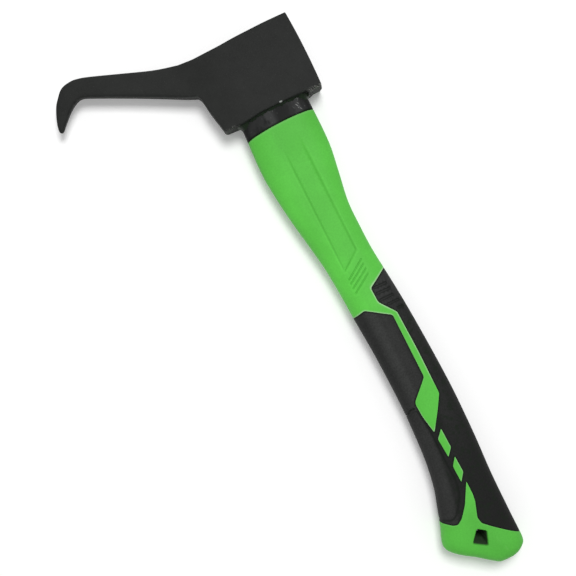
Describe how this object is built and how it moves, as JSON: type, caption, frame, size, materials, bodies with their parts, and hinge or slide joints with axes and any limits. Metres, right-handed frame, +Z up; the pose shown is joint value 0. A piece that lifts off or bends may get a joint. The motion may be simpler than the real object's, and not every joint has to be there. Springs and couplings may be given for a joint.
{
  "type": "pickaroon",
  "caption": "Hand pickaroon: a forged hook head bonded to a moulded two-material handle on a fibreglass core, with a soft grip and a hang hole.",
  "frame": {"origin": "middle of the head's lower cheek, on the surface that the tool lies on, under the centre of the eye", "axes": "+Y from the butt to the top of the head, +Z up off the surface, +X towards the poll; the hook points along -X"},
  "size_m": [0.1692, 0.4096, 0.028],
  "materials": {
    "head_coating": "matt dark grey powder coat on forged steel",
    "resin": "glossy black epoxy",
    "tongue": "glossy black moulding with scuffs",
    "core": "pultruded glass fibre and resin",
    "jacket": "satin moulded green polymer",
    "grip": "soft matt black overmould"
  },
  "bodies": {
    "root": {"hook_head": "head_coating", "eye_resin": "resin", "neck_tongue": "tongue", "handle_core": "core", "shaft_jacket": "jacket", "grip_overmould": "grip"}
  },
  "joints": []
}
